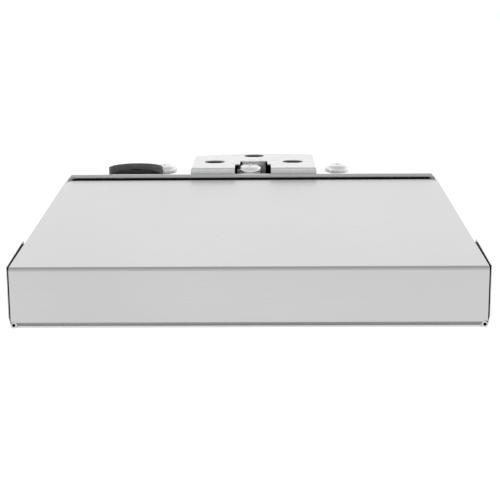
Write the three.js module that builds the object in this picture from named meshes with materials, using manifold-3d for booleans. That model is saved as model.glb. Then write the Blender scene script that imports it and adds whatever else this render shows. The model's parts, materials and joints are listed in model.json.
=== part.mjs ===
// Under cabinet range hood: a low, wide sheet steel hood that hangs from a bracket on its
// rear deck. Millimetres, +X to the right, +Y to the wall, +Z up.
// The hood is laid out from the fold between its sloping top and its front face, at the
// middle of its width. One group then moves it so that the origin lies on the bracket.
import * as THREE from "three";
import * as BufferGeometryUtils from "three/addons/utils/BufferGeometryUtils.js";
import Module from "manifold-3d";

const wasm = await Module();
wasm.setup();

// Driving dimensions
const WIDTH = 610; // over the side panels
const COVER_WIDTH = 603.2; // the front cover, between the side panels
const TOP_RUN = 400; // fold to ridge, level
const TOP_RISE = 29.5; // fold to ridge, up
const FACE_HEIGHT = 80;
const FACE_RAKE = 8; // how far the face leans out at its foot
const BACK_Y = 552; // outside of the back panel
const SHEET = 1.2;
const GAP = 0.3; // between pieces that touch
const BEND = 2.5;
const HEM = { x: 298.4, z: -74, radius: 4.3, bore: 2.2 }; // rolled lower edge of a side panel

const RIM_Y = 409;
const RIM_TOP = 36;
const DECK_Z = 0;
const BRACKET = {
  x: 4, width: 207, front: 420, rear: 552, leftCorner: 533, rightCorner: 542, top: 45, sheet: 2, foot: 14,
};
const HANG_Y = 502; // the hanging face lies between the notch and the rear slot
const BOLT_HEAD = { radius: 21.8, height: 12.5 };
const BOLTS = { left: [-148, 484, 26.5], centre: [-3, 463, 29], right: [146, 484, 26.5] };
const CABLE = { x: -192, y: 440, boot: 41, guard: 44.8, flat: 0.79, top: 43.5, hole: 10 };

const BLOWER = { x: -50, y: 250, wheel: 95, start: 108, end: 160, outlet: 110, floor: -58, lid: -7 };
const DUCT = { width: 224, height: 50, z: -33, length: 20, wall: 1.5 };
const FILTER = { x: 146, y: 281, width: 266, depth: 290, bar: 12, low: -75.8, high: -67 };
const LAMP = { x: 200, y: 70, radius: 28.4 };
const BUTTON = { count: 5, pitch: 30, radius: 7, y: 43, travel: 2 };
const FLOOR_Z = -76; // underside of the pan, a little above the foot of the face
const INNER = WIDTH / 2 - SHEET; // inside face of a side panel

// Finishes
const finish = (color, roughness, metalness) => () =>
  new THREE.MeshStandardMaterial({ color, roughness, metalness });
const satinSteel = finish(0xd2d3d4, 0.34, 1);
const zincPlate = finish(0xdcdee0, 0.4, 1);
const polished = finish(0xe4e6e8, 0.18, 1);
const galvanised = finish(0xb9bcbe, 0.5, 1);
const aluminium = finish(0xc4c6c8, 0.45, 1);
const blackRubber = finish(0x101010, 0.8, 0);
const darkPlastic = finish(0x56585a, 0.55, 0);
const blackPlastic = finish(0x1b1c1d, 0.5, 0);
const lampGlass = finish(0xf1efe6, 0.2, 0);
const boardGreen = finish(0x2f6a3e, 0.6, 0);

// Solids: joining and cutting closed meshes
function toSolid(geometry) {
  const bare = new THREE.BufferGeometry();
  bare.setAttribute("position", geometry.getAttribute("position").clone());
  if (geometry.index) bare.setIndex(geometry.index.clone());
  const merged = BufferGeometryUtils.mergeVertices(bare, 1e-4);
  return new wasm.Manifold(new wasm.Mesh({
    numProp: 3,
    vertProperties: new Float32Array(merged.getAttribute("position").array),
    triVerts: new Uint32Array(merged.index.array),
  }));
}

function toGeometry(solid) {
  const mesh = solid.getMesh();
  const geometry = new THREE.BufferGeometry();
  geometry.setAttribute("position", new THREE.BufferAttribute(new Float32Array(mesh.vertProperties), 3));
  geometry.setIndex(new THREE.BufferAttribute(new Uint32Array(mesh.triVerts), 1));
  geometry.computeVertexNormals();
  return geometry;
}

const join = (first, ...rest) =>
  toGeometry(rest.reduce((solid, next) => solid.add(toSolid(next)), toSolid(first)));
const cut = (first, ...rest) =>
  toGeometry(rest.reduce((solid, next) => solid.subtract(toSolid(next)), toSolid(first)));
const common = (first, second) => toGeometry(toSolid(first).intersect(toSolid(second)));

// Plain shapes, placed by their limits
function block(x0, x1, y0, y1, z0, z1) {
  const geometry = new THREE.BoxGeometry(x1 - x0, y1 - y0, z1 - z0);
  return geometry.translate((x0 + x1) / 2, (y0 + y1) / 2, (z0 + z1) / 2);
}

function rod(radius, x, y, z0, z1, sides = 24) {
  const geometry = new THREE.CylinderGeometry(radius, radius, z1 - z0, sides);
  return geometry.rotateX(Math.PI / 2).translate(x, y, (z0 + z1) / 2);
}

// A profile of [radius, height] turned about the upright axis, in either order of its points
function turned(profile, sides = 32) {
  const points = profile.map(([r, z]) => new THREE.Vector2(r, z));
  if (THREE.ShapeUtils.area(points) < 0) points.reverse();
  return new THREE.LatheGeometry(points, sides).rotateX(Math.PI / 2);
}

// Outlines: a list of [a, b, radius] corners becomes points, with an arc at each rounded corner
function rounded(corners, steps = 4) {
  const points = [];
  corners.forEach(([a, b, radius = 0], i) => {
    const here = new THREE.Vector2(a, b);
    if (!radius || i === 0 || i === corners.length - 1) return points.push(here);
    const before = new THREE.Vector2(...corners[i - 1].slice(0, 2)).sub(here).normalize();
    const after = new THREE.Vector2(...corners[i + 1].slice(0, 2)).sub(here).normalize();
    const half = Math.acos(THREE.MathUtils.clamp(before.dot(after), -1, 1)) / 2;
    const reach = radius / Math.tan(half);
    const centre = before.clone().add(after).setLength(radius / Math.sin(half)).add(here);
    const first = before.multiplyScalar(reach).add(here).sub(centre);
    const last = after.multiplyScalar(reach).add(here).sub(centre);
    const turn = Math.atan2(first.cross(last), first.dot(last));
    for (let k = 0; k <= steps; k++) {
      points.push(first.clone().rotateAround(new THREE.Vector2(), (turn * k) / steps).add(centre));
    }
  });
  return points;
}

// The same line, moved to its left by a distance
function offset(points, distance) {
  return points.map((point, i) => {
    const before = point.clone().sub(points[Math.max(i - 1, 0)]);
    const after = points[Math.min(i + 1, points.length - 1)].clone().sub(point);
    const a = (before.length() ? before : after).clone().normalize();
    const b = (after.length() ? after : before).clone().normalize();
    const normal = new THREE.Vector2(-a.y - b.y, a.x + b.x);
    return normal.multiplyScalar(distance / (1 + a.dot(b))).add(point);
  });
}

const band = (points, from, to) =>
  new THREE.Shape([...offset(points, from), ...offset(points, to).reverse()]);

// Straight runs of an outline: along X from a Y-Z outline, along Y from X-Z, up from X-Y
const extrude = (shape, depth) =>
  new THREE.ExtrudeGeometry(shape, { depth, bevelEnabled: false, curveSegments: 8 });

function alongX(shape, x0, x1) {
  const turn = new THREE.Matrix4().makeBasis(
    new THREE.Vector3(0, 1, 0), new THREE.Vector3(0, 0, 1), new THREE.Vector3(1, 0, 0));
  return extrude(shape, x1 - x0).applyMatrix4(turn).translate(x0, 0, 0);
}

const alongY = (shape, y0, y1) => extrude(shape, y1 - y0).rotateX(Math.PI / 2).translate(0, y1, 0);
const upright = (shape, z0, z1) => extrude(shape, z1 - z0).translate(0, 0, z0);
const polygon = (corners) => new THREE.Shape(corners.map(([a, b]) => new THREE.Vector2(a, b)));

function slotShape(x, y, width, depth) {
  const reach = (width - depth) / 2;
  const shape = new THREE.Shape();
  shape.absarc(x + reach, y, depth / 2, -Math.PI / 2, Math.PI / 2);
  shape.absarc(x - reach, y, depth / 2, Math.PI / 2, (3 * Math.PI) / 2);
  return shape;
}

const topZ = (y) => (TOP_RISE * y) / TOP_RUN;
const faceY = (z) => (FACE_RAKE * z) / FACE_HEIGHT;

// The outside line of the front cover, from its rear hook over the ridge and down the face
const coverLine = rounded([
  [TOP_RUN, TOP_RISE - 10],
  [TOP_RUN, TOP_RISE, BEND],
  [0, 0, 5],
  [-FACE_RAKE, -FACE_HEIGHT, 9],
  [10, -FACE_HEIGHT],
], 6);

function frontCover() {
  const half = COVER_WIDTH / 2;
  const sheet = alongX(band(coverLine, 0, SHEET), -half, half);
  const outer = coverLine.filter((p) => p.x < TOP_RUN - BEND && p.y > 9 - FACE_HEIGHT);
  const inner = [outer[0], new THREE.Vector2(0, 0), outer[outer.length - 1]];
  const flange = new THREE.Shape([...offset(outer, SHEET / 2), ...offset(inner, 11).reverse()]);
  const room = HEM.radius + 0.9; // the lower corners make way for the rolled hems of the side panels
  const corners = [-1, 1].map((side) =>
    new THREE.CylinderGeometry(room, room, 50, 32).translate(side * HEM.x, 10, HEM.z));
  const hooks = [-1, 1].map((side) => upright(polygon([
    [side * 291, TOP_RUN + 3], [side * 294, TOP_RUN + 3], [side * 299.3, TOP_RUN - 9.2],
    [side * 296.8, TOP_RUN - 10.4]]), 10, TOP_RISE + 5)); // the ridge gap turns the corner in a short slit
  const whole = join(sheet, alongX(flange, -half, SHEET - half), alongX(flange, half - SHEET, half));
  return cut(whole, ...corners, ...hooks);
}

// A black foam strip down the front of the rim, behind the ridge of the cover
function ridgeSeal() {
  const [top, half] = [RIM_TOP - 5, 297];
  const ends = polygon([[-half - 5, 8], [half + 5, 8], [half + 5, top - 12], [half - 7, top], [7 - half, top],
    [-half - 5, top - 12]]);
  const tongues = [-1, 1].map((side) =>
    onSide(polygon([[388, 14], [RIM_Y - 1, 14], [RIM_Y - 1, 18.5], [388, 18.5]]), side, 289, 299.8));
  return join(alongY(ends, RIM_Y - 2.4, RIM_Y - GAP), ...tongues); // a tongue darkens each slit
}

// A side panel is one sheet whose lower edge turns in and rolls into an open hem
function sidePanel(side) {
  const out = WIDTH / 2;
  const line = rounded([[out, RIM_TOP], [out, FLOOR_Z + 12, 4], [HEM.x + 3.9, HEM.z - 1.8]]);
  for (let turn = 45; turn <= 310; turn += 18) {
    const angle = THREE.MathUtils.degToRad(-turn);
    const [dx, dz] = [HEM.radius * Math.cos(angle), HEM.radius * Math.sin(angle)];
    line.push(new THREE.Vector2(HEM.x + dx, HEM.z + dz));
  }
  const mirrored = line.map((p) => new THREE.Vector2(side * p.x, p.y));
  const ear = 97; // the panel stands up beside the cover for this far, then drops below it
  const drop = 10;
  const rear = BACK_Y - SHEET - 2 * GAP;
  const outline = polygon([
    [faceY(FLOOR_Z) + 1, FLOOR_Z - 4],
    [1, -1.5],
    [3.5, topZ(3.5) + 0.6],
    [ear, topZ(ear) + 2.6],
    [ear + drop, topZ(ear) - drop],
    [TOP_RUN, TOP_RISE - drop],
    [RIM_Y + 8, DECK_Z],
    [rear, DECK_Z],
    [rear, FLOOR_Z - 4],
  ]);
  const sheet = alongY(band(mirrored, 0, -side * SHEET), -FACE_RAKE - 2, BACK_Y + 2);
  return common(join(sheet, hemRoll(side)), onSide(outline, side, 290, 306));
}

// The second turn of the hem, which closes it to a narrow bore
function hemRoll(side) {
  const roll = new THREE.Shape();
  roll.absarc(side * HEM.x, HEM.z, HEM.radius - SHEET / 2, 0, 2 * Math.PI);
  const bore = new THREE.Path();
  bore.absarc(side * HEM.x, HEM.z, HEM.bore, 0, 2 * Math.PI);
  roll.holes.push(bore);
  return alongY(roll, -FACE_RAKE - 2, BACK_Y + 2);
}

// A run along X on one side of the hood, between two distances from its middle
const onSide = (shape, side, near, far) =>
  alongX(shape, Math.min(side * near, side * far), Math.max(side * near, side * far));

// A black strip that fills the seam between the cover and the side panel
function edgeSeal(side) {
  const foot = FLOOR_Z + 12;
  const fold = coverLine.filter((p) => p.x < 20 && p.y > foot);
  const line = [new THREE.Vector2(93, topZ(93)), ...fold, new THREE.Vector2(faceY(foot), foot)];
  const inside = COVER_WIDTH / 2 + GAP;
  const outside = INNER - GAP;
  return onSide(band(line, 0.4, 4.6), side, inside, outside);
}

// Rear deck: a folded rim behind the ridge, a wall down, and a flat deck back to the wall
function rearDeck() {
  const rimRear = RIM_Y + 9;
  const line = rounded([
    [rimRear, RIM_TOP - 6],
    [rimRear, RIM_TOP, 1.5],
    [RIM_Y, RIM_TOP, 2.5],
    [RIM_Y, DECK_Z - SHEET],
    [BACK_Y - SHEET - GAP, DECK_Z - SHEET],
  ]);
  const half = INNER - GAP;
  const sheet = alongX(band(line, 0, SHEET), -half, half);
  const corners = [-1, 1].map((side) => alongY(
    polygon([[side * 291, 40], [side * 310, 40], [side * 310, 19]]), RIM_Y - 3, RIM_Y + 12));
  const holes = Object.values(BOLTS).map(([x, y]) => rod(4.8, x, y, -5, 5, 16));
  const screws = bracketScrewPlaces().map(([x, y]) => rod(2.6, x, y, -5, 5, 12));
  return cut(sheet, ...corners, ...holes, ...screws, rod(14, CABLE.x, CABLE.y + 10, -5, 5));
}

function backPanel() {
  const out = BACK_Y;
  const line = rounded([
    [out - 12, DECK_Z - SHEET - GAP],
    [out, DECK_Z - SHEET - GAP, 2],
    [out, FLOOR_Z, 2],
    [out - 2.6, FLOOR_Z],
  ]);
  const half = INNER - GAP;
  const sheet = alongX(band(line, 0, -SHEET), -half, half);
  const hemRoom = [-1, 1].map((side) => block(
    Math.min(side * 289, side * 310), Math.max(side * 289, side * 310), out - 13, out - SHEET - 0.3,
    FLOOR_Z - 1, DECK_Z - SHEET - 1.8));
  const mouth = block(-DUCT.width / 2 - 1, DUCT.width / 2 + 1, out - 4, out + 2,
    DUCT.z - DUCT.height / 2 - 1, DUCT.z + DUCT.height / 2 + 1);
  const keyholes = [-220, 220].flatMap((x) => [
    new THREE.CylinderGeometry(5, 5, 8, 20).translate(x, out, -44),
    block(x - 2.5, x + 2.5, out - 4, out + 4, -44, -30),
  ]);
  return cut(sheet, mouth, ...keyholes, ...hemRoom);
}

function bottomPan() {
  const half = 292.3;
  const [front, rear] = [10.6, BACK_Y - 3.4];
  const lip = FLOOR_Z + 12;
  const plate = block(-half, half, front, rear, FLOOR_Z, FLOOR_Z + SHEET);
  const lips = [
    block(-half, half, front, front + SHEET, FLOOR_Z, lip),
    block(-half, half, rear - SHEET, rear, FLOOR_Z, lip),
    block(-half, SHEET - half, front, rear, FLOOR_Z, lip),
    block(half - SHEET, half, front, rear, FLOOR_Z, lip),
  ];
  const filters = [-1, 1].map((side) => block(
    side * FILTER.x - FILTER.width / 2 - 1, side * FILTER.x + FILTER.width / 2 + 1,
    FILTER.y - FILTER.depth / 2 - 1, FILTER.y + FILTER.depth / 2 + 1, FLOOR_Z - 1, FLOOR_Z + 5));
  const lamps = [-1, 1].map((side) =>
    rod(LAMP.radius + 0.6, side * LAMP.x, LAMP.y, FLOOR_Z - 2, FLOOR_Z + 5));
  const controls = block(-68, 68, BUTTON.y - 8, BUTTON.y + 8, FLOOR_Z - 2, FLOOR_Z + 5);
  return cut(join(plate, ...lips), ...filters, ...lamps, controls);
}

// Grease filters: a channel frame and a mesh panel each, hung at their rear edge
function filterFrame() {
  const [w, d] = [FILTER.width / 2, FILTER.depth / 2];
  const frame = cut(block(-w, w, -d, d, FILTER.low, FILTER.high),
    block(FILTER.bar - w, w - FILTER.bar, FILTER.bar - d, d - FILTER.bar, FILTER.low - 1, FILTER.high + 1));
  const tabs = [-80, 80].map((x) => block(x - 9, x + 9, d - 2, d + 8, FILTER.high - 2.5, FILTER.high - 0.5));
  return join(frame, ...tabs);
}

function filterMesh() {
  const [w, d] = [FILTER.width / 2 - FILTER.bar - GAP, FILTER.depth / 2 - FILTER.bar - GAP];
  return block(-w, w, -d, d, FILTER.low + 1.6, FILTER.high - 1.6);
}

function filterLatch() {
  const low = FILTER.low - GAP - 1.6;
  const front = 1 - FILTER.depth / 2;
  const plate = block(-17, 17, front, front + 10, low, low + 1.6);
  return join(plate, block(-12, 12, front + 8.4, front + 10, low - 3, low + 0.5));
}

// Blower: a spiral casing lying flat, its wheel on the shaft of a flat motor on the lid
function spiral(grow = 0) {
  const [from, to, steps] = [124, 360, 36];
  const points = [];
  for (let i = 0; i <= steps; i++) {
    const angle = THREE.MathUtils.degToRad(from + ((to - from) * i) / steps);
    const radius = BLOWER.start + ((BLOWER.end - BLOWER.start) * i) / steps + grow;
    points.push(new THREE.Vector2(BLOWER.x + radius * Math.cos(angle), BLOWER.y + radius * Math.sin(angle)));
  }
  return points;
}

const casingLine = () => {
  const end = BACK_Y - 3;
  return [new THREE.Vector2(-BLOWER.outlet, end), ...spiral(), new THREE.Vector2(BLOWER.outlet, end)];
};

function blowerCasing() {
  const wall = upright(band(casingLine(), 0, SHEET), BLOWER.floor, BLOWER.lid - GAP);
  const floor = upright(new THREE.Shape(offset(casingLine(), SHEET / 2)), BLOWER.floor, BLOWER.floor + SHEET);
  return cut(join(wall, floor), rod(72, BLOWER.x, BLOWER.y, BLOWER.floor - 2, BLOWER.floor + 3, 48));
}

function blowerLid() {
  const plate = upright(new THREE.Shape(casingLine()), BLOWER.lid, BLOWER.lid + SHEET);
  const screws = motorScrewPlaces().map(([x, y]) => rod(2.6, x, y, BLOWER.lid - 2, BLOWER.lid + 4, 12));
  return cut(plate, rod(12, BLOWER.x, BLOWER.y, BLOWER.lid - 2, BLOWER.lid + 4), ...screws);
}

const inletRing = () => turned([
  [70.3, -54.8], [71.7, -54.8], [71.7, -58.4], [76, -58.9], [84, -62], [84, -63.2], [76, -60.1],
  [70.3, -59.5], [70.3, -54.8],
], 36);

function impeller() {
  const [tip, root, low, high] = [BLOWER.wheel, 80, -52.5, -13];
  const plate = rod(tip, 0, 0, high - 1.6, high, 48);
  const ring = cut(rod(tip, 0, 0, low, low + 1.6, 48), rod(root, 0, 0, low - 1, low + 3, 48));
  const hub = rod(10, 0, 0, -36, high - 0.5, 24);
  const blades = [];
  const count = 28;
  for (let i = 0; i < count; i++) {
    const line = rounded([[root + 0.8, 0], [root + 7, 1.5, 20], [tip - 0.8, 7]], 2);
    const blade = upright(band(line, -0.6, 0.6), low + 0.5, high - 0.5);
    blades.push(blade.rotateZ((i * 2 * Math.PI) / count));
  }
  return cut(join(plate, ring, hub, ...blades), rod(4.3, 0, 0, -40, 0, 20));
}

const motorShaft = () => rod(4, 0, 0, -34, -1.5, 20);
const motorScrewPlaces = () => [0, 1, 2].map((i) => {
  const angle = (i * 2 * Math.PI) / 3 + Math.PI / 2;
  return [BLOWER.x + 52 * Math.cos(angle), BLOWER.y + 52 * Math.sin(angle)];
});

function motorBody() {
  const foot = BLOWER.lid + SHEET + GAP;
  const can = turned([
    [0, foot], [44, foot], [45, foot + 1], [45, foot + 12], [42, foot + 15], [16, foot + 15], [15, foot + 17],
    [0, foot + 17],
  ], 32);
  const ears = motorScrewPlaces().map(([x, y]) => rod(7, x - BLOWER.x, y - BLOWER.y, foot, foot + 2.5, 20));
  const webs = [0, 1, 2].map((i) =>
    block(40, 52, -6, 6, foot, foot + 2.5).rotateZ((i * 2 * Math.PI) / 3 + Math.PI / 2));
  const holes = motorScrewPlaces().map(([x, y]) =>
    rod(2.6, x - BLOWER.x, y - BLOWER.y, foot - 2, foot + 5, 12));
  return cut(join(can, ...ears, ...webs), ...holes, rod(4.3, 0, 0, foot - 2, 0, 20));
}

// A small pan head screw, hanging from the origin under its head
const smallScrew = (length) => turned([
  [0, -length], [2.1, -length + 0.8], [2.1, 0], [4.2, 0], [4.2, 1.2], [3, 2.4], [0, 2.7],
], 12);

// Duct outlet: a flanged collar on the back panel, with a flap that hangs on a pin
function ductCollar() {
  const [w, h, t] = [DUCT.width / 2, DUCT.height / 2, DUCT.wall];
  const near = BACK_Y + GAP;
  const flange = block(-w - 12, w + 12, near, near + t, DUCT.z - h - 6, DUCT.z + h + 6);
  const tube = block(-w, w, near, near + DUCT.length, DUCT.z - h, DUCT.z + h);
  const bore = block(t - w, w - t, near - 2, near + DUCT.length + 2, DUCT.z - h + t, DUCT.z + h - t);
  const pin = new THREE.CylinderGeometry(2.3, 2.3, 2 * w + 8, 16).rotateZ(Math.PI / 2)
    .translate(0, PIN.y, PIN.z);
  return cut(join(flange, tube), bore, pin);
}

const PIN = { y: BACK_Y + 8, z: DUCT.z + DUCT.height / 2 - 6.5, radius: 2 };
const level = (radius, length, sides) =>
  new THREE.CylinderGeometry(radius, radius, length, sides).rotateZ(Math.PI / 2);
const damperPin = () => level(PIN.radius, DUCT.width - 0.6, 16);

function damperFlap() {
  const half = DUCT.width / 2 - DUCT.wall - 1.5;
  const barrel = level(3.6, 2 * half, 20);
  const plate = block(-half, half, -0.5, 0.5, -36.5, -2.8);
  const hem = block(-half, half, -1.3, 1.3, -37.6, -35.6);
  const bore = level(PIN.radius + GAP, 2 * half + 4, 16);
  return cut(join(barrel, plate, hem), bore);
}

// Lamps and controls, in the strip under the front
const lampHousing = () => turned([
  [26.9, -1.8], [33, -1.8], [33, -0.3], [LAMP.radius, -0.3], [LAMP.radius, 15], [24, 19], [0, 19], [0, 17.5],
  [23.4, 17.5], [26.9, 14.4], [26.9, -1.8],
], 28);
const lampLens = () => turned([[0, -1.2], [25.4, -1.2], [26.4, -0.2], [26.4, 1.4], [0, 1.4]], 28);

function controlBezel() {
  const shape = new THREE.Shape(rounded([
    [0, 15], [-78, 15, 6], [-78, -15, 6], [78, -15, 6], [78, 15, 6], [0, 15]]).slice(0, -1));
  const plate = upright(shape, -1.8, -GAP);
  const holes = buttonPlaces().map((x) => rod(BUTTON.radius + 0.5, x, 0, -4, 4, 18));
  return cut(plate, ...holes);
}

const buttonPlaces = () =>
  Array.from({ length: BUTTON.count }, (_, i) => (i - (BUTTON.count - 1) / 2) * BUTTON.pitch);
const pushButton = () => turned([
  [0, -4], [4.5, -4], [6.4, -3.6], [BUTTON.radius, -2.8], [BUTTON.radius, 3], [2.5, 3], [2.5, 7], [0, 7],
], 18);

function controlBoard() {
  const board = block(-72, 72, -11, 11, 10, 11.6);
  const posts = [-70, 70].map((x) => block(x - 2, x + 2, -4, 4, SHEET + GAP, 10.5));
  const chips = [-45, -10, 30].map((x) => block(x, x + 12, -6, 6, 11.2, 14.5));
  return join(board, ...posts, ...chips);
}

// Wiring: a box under the deck, its lid, and the leads that run from it
function junctionBox() {
  const [x0, x1, y0, y1, z0, z1] = [-290, -172, 434, 538, -46, -1.6];
  const wall = 1.5;
  const inside = block(x0 + wall, x1 - wall, y0 + wall, y1 - wall, z0 - 1, z1 - wall);
  return cut(block(x0, x1, y0, y1, z0, z1), inside, rod(12, CABLE.x, CABLE.y + 10, z1 - 4, z1 + 2));
}

const junctionLid = () => join(
  block(-291, -171, 433, 539, -47.9, -46.3), block(-236, -226, 433, 434.5, -52, -47));

function lead(points, radius) {
  const path = new THREE.CatmullRomCurve3(points.map((p) => new THREE.Vector3(...p)));
  const section = new THREE.Shape();
  section.absarc(0, 0, radius, 0, 2 * Math.PI);
  return new THREE.ExtrudeGeometry(section, { steps: 24, extrudePath: path, curveSegments: 4 });
}

const controlLead = () => lead(
  [[-240, 433, -30], [-242, 380, -32], [-245, 250, -36], [-242, 130, -40], [-160, 60, -48],
    [-77, 43, -60]], 3.2);
const motorLead = () => lead(
  [[-205, 433, -20], [-203, 400, -14], [-180, 340, 2], [-140, 290, 6], [-99, 262, 4]], 2.6);

const capacitor = () => turned([
  [0, -30], [14, -30], [16, -28], [16, 28], [14, 30], [5, 30], [5, 34], [0, 34]], 28).rotateY(Math.PI / 2);

function capacitorClip() {
  const ring = new THREE.CylinderGeometry(17.6, 17.6, 12, 28).rotateZ(Math.PI / 2);
  const bore = new THREE.CylinderGeometry(16.3, 16.3, 20, 28).rotateZ(Math.PI / 2);
  const tab = block(-6, 6, -26, 0, 16.4, 18.2);
  return cut(join(ring, tab), bore);
}

// Cable entry on the deck: a domed rubber boot and the half round guard behind it, both flattened to
// an oval so that they clear the mounting bolt
function cableBoot() {
  const r = CABLE.boot;
  const dome = turned([
    [0, GAP], [r, GAP], [r, 29], [r - 3, 32], [r - 11, 35.5], [r - 21, 37.5], [12, 38.5], [0, 38.8],
  ], 40).scale(1, CABLE.flat, 1);
  return cut(dome, block(-60, 60, -60, -20, -5, 60), rod(CABLE.hole, 0, 10, -5, 60));
}

function cableGuard() {
  const wall = 3;
  const outside = rod(CABLE.guard, 0, 0, GAP, CABLE.top, 48);
  const ring = cut(outside, rod(CABLE.guard - wall, 0, 0, -2, CABLE.top + 2, 48));
  const feet = [[-54, 0], [-6, 43]].map(([x, y]) => block(x, x + 12, y, y + 12, GAP, 3));
  const front = block(-60, 60, -60, 0, -5, 60);
  return cut(join(ring, ...feet), front).scale(1, CABLE.flat, 1);
}

// Hanging bracket: a hat section with a bowed rear edge, three slots and a stepped notch
function hangingBracket() {
  const b = BRACKET;
  const [left, right] = [b.x - b.width / 2, b.x + b.width / 2];
  const foot = GAP + b.sheet;
  const hat = rounded([
    [left - b.foot, foot], [left, foot, 1], [left, b.top, 4], [right, b.top, 4], [right, foot, 1],
    [right + b.foot, foot]]);
  const channel = alongY(band(hat, 0, -b.sheet), b.front, b.rear);
  const wall = block(left + 1, right - 1, b.front, b.front + b.sheet, 8, b.top - 1);
  const plan = new THREE.Shape();
  plan.moveTo(left - b.foot, b.front - 1);
  plan.lineTo(right + b.foot, b.front - 1);
  plan.lineTo(right + b.foot, b.rightCorner);
  plan.lineTo(right, b.rightCorner);
  plan.quadraticCurveTo(b.x, 2 * b.rear - (b.leftCorner + b.rightCorner) / 2, left, b.leftCorner);
  plan.lineTo(left - b.foot, b.leftCorner);
  const nose = rounded([[b.rear + 2, b.top], [b.front, b.top, 4], [b.front, -2]]);
  const side = new THREE.Shape([...nose, new THREE.Vector2(b.rear + 2, -2)]);
  const slots = [[-66, 476], [66, 476], [0, 531]].map(([x, y]) =>
    upright(slotShape(b.x + x, y, 34, 24), b.top - 10, b.top + 10));
  const notch = [
    block(b.x - 31, b.x + 28.5, b.front - 5, 455, foot + 4, b.top + 5),
    block(b.x - 23, b.x + 23, 440, 483, foot + 4, b.top + 5),
  ];
  const screws = bracketScrewPlaces().map(([x, y]) => rod(2.6, x, y, -2, 6, 12));
  const blank = common(join(channel, wall), upright(plan, -5, b.top + 5));
  return cut(common(blank, alongX(side, -200, 200)), ...slots, ...notch, ...screws);
}

const bracketScrewPlaces = () => [-1, 1].flatMap((side) =>
  [440, 515].map((y) => [BRACKET.x + side * (BRACKET.width / 2 + BRACKET.foot / 2), y]));

// The plan line of the bracket's bowed rear edge, moved forward by a distance
const bowY = (x, forward) => {
  const { width, rear, leftCorner, rightCorner } = BRACKET;
  const across = (x - BRACKET.x) / (width / 2);
  const drop = rear - (leftCorner + rightCorner) / 2;
  return rear - forward - drop * across ** 2 + ((rightCorner - leftCorner) / 2) * across;
};

// A foam strip that closes the space under the bracket, just inside its bowed edge
function bracketSeal() {
  const reach = BRACKET.width / 2 - 4;
  const places = Array.from({ length: 13 }, (_, i) => BRACKET.x + reach * (i / 6 - 1));
  const outline = [...places.map((x) => [x, bowY(x, 6)]), ...places.reverse().map((x) => [x, bowY(x, 2.5)])];
  return upright(polygon(outline), GAP, BRACKET.top - BRACKET.sheet - GAP);
}

// A spring clip in the notch, with upright fingers that lock the bracket to the cabinet
function lockClip() {
  const fingers = [-20, -10, 0, 10].map((x) => block(x, x + 7, 2, 8, 38, 41));
  const riser = block(-20, 20, 6.5, 8, GAP, 42);
  const foot = block(-20, 20, 6.5, 20, GAP, GAP + 1.5);
  return join(riser, foot, ...fingers);
}

// Dome headed mounting bolt with a cross recess, and the spacer it stands on
function mountBolt() {
  const { radius, height } = BOLT_HEAD;
  const dome = [];
  const rings = 6;
  for (let i = 0; i <= rings; i++) {
    const angle = (i * Math.PI) / (2 * rings);
    dome.push([radius * Math.cos(angle) ** 0.8, 3.5 + (height - 3.5) * Math.sin(angle)]);
  }
  dome[rings][0] = 0;
  const shank = turned([
    [0, -33], [3, -33], [4, -32], [4, 0], [radius - 2, 0], [radius, 1.2], ...dome], 28);
  const arms = [0, Math.PI / 2].map((turn) =>
    block(-6, 6, -1.4, 1.4, height - 4.5, height + 2).rotateZ(turn));
  return cut(shank, ...arms);
}

const boltSpacer = (top) => turned([
  [4.4, GAP], [9, GAP], [9, 3], [7.5, 4], [7.5, top - 4.2], [9, top - 3.2], [9, top], [4.4, top], [4.4, GAP],
], 24);

// Assembly
const hood = new THREE.Group();
hood.position.set(0, -HANG_Y, -BRACKET.top);

function add(name, geometry, material, x = 0, y = 0, z = 0) {
  const mesh = new THREE.Mesh(geometry, material());
  mesh.name = name;
  mesh.position.set(x, y, z);
  hood.add(mesh);
}

const SIDES = { left: -1, right: 1 };

add("front_cover", frontCover(), satinSteel);
add("ridge_seal", ridgeSeal(), blackRubber);
add("rear_deck", rearDeck(), satinSteel);
add("back_panel", backPanel(), galvanised);
add("bottom_pan", bottomPan(), satinSteel);
for (const [name, side] of Object.entries(SIDES)) {
  add(`side_panel_${name}`, sidePanel(side), satinSteel);
  add(`edge_seal_${name}`, edgeSeal(side), blackRubber);
  add(`filter_frame_${name}`, filterFrame(), aluminium, side * FILTER.x, FILTER.y);
  add(`filter_mesh_${name}`, filterMesh(), aluminium, side * FILTER.x, FILTER.y);
  add(`filter_latch_${name}`, filterLatch(), blackPlastic, side * FILTER.x, FILTER.y);
  add(`lamp_housing_${name}`, lampHousing(), polished, side * LAMP.x, LAMP.y, FLOOR_Z);
  add(`lamp_lens_${name}`, lampLens(), lampGlass, side * LAMP.x, LAMP.y, FLOOR_Z);
}

add("blower_casing", blowerCasing(), galvanised);
add("blower_lid", blowerLid(), galvanised);
add("inlet_ring", inletRing(), blackPlastic, BLOWER.x, BLOWER.y);
add("impeller", impeller(), blackPlastic, BLOWER.x, BLOWER.y);
add("motor_shaft", motorShaft(), polished, BLOWER.x, BLOWER.y);
add("motor_body", motorBody(), galvanised, BLOWER.x, BLOWER.y);
motorScrewPlaces().forEach(([x, y], i) =>
  add(`motor_screw_${i + 1}`, smallScrew(8), zincPlate, x, y, BLOWER.lid + SHEET + GAP + 2.5 + GAP));
add("capacitor", capacitor(), aluminium, 200, 480, -20.6);
add("capacitor_clip", capacitorClip(), galvanised, 200, 480, -20.6);

add("duct_collar", ductCollar(), galvanised);
add("damper_pin", damperPin(), zincPlate, 0, PIN.y, PIN.z);
add("damper_flap", damperFlap(), galvanised, 0, PIN.y, PIN.z);

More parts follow.
